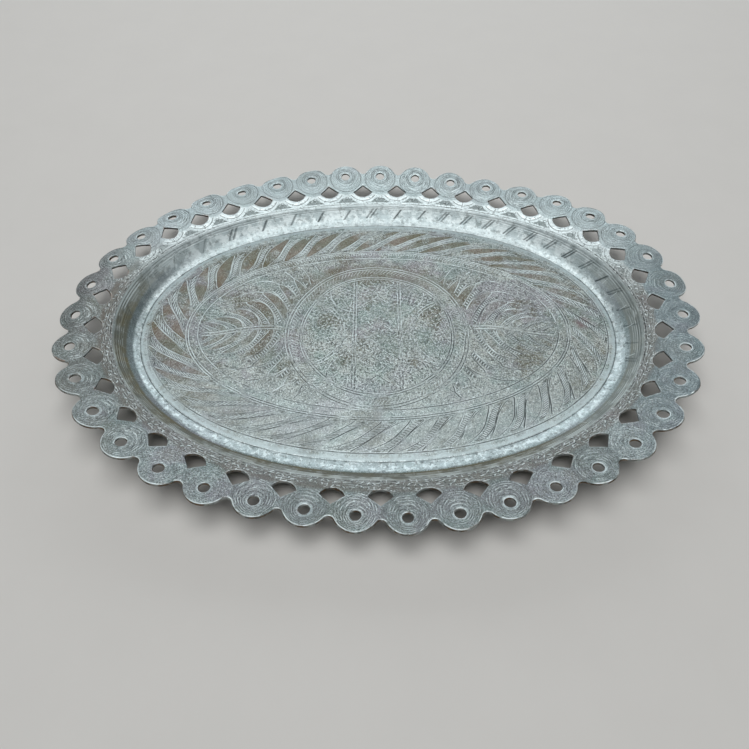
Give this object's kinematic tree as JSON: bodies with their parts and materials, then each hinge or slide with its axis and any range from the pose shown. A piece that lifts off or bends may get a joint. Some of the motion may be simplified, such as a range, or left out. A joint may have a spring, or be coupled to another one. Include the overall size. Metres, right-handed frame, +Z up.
{
  "type": "oval serving tray",
  "caption": "Oval metal tray with a flat engraved floor, a low wall and a dished rim pierced with fan openings and scalloped into round drilled discs.",
  "frame": {"origin": "on the surface that the tray stands on, under the middle of its oval", "axes": "+X along the oval's long axis, +Y along its short axis, +Z up out of the well"},
  "size_m": [0.3792, 0.2839, 0.0244],
  "materials": {
    "engraved_floor": "aged tin over a copper alloy, engraved, dull, with olive-brown wear and pale cut lines",
    "burnished_wall": "aged tin over a copper alloy, burnished pale in the cove, olive-brown under the shoulder",
    "engraved_rim": "aged tin over a copper alloy, engraved with rings, semi-dull, brown at the worn cut edges"
  },
  "bodies": {
    "root": {"well_floor": "engraved_floor", "well_wall": "burnished_wall", "pierced_rim": "engraved_rim"}
  },
  "joints": []
}
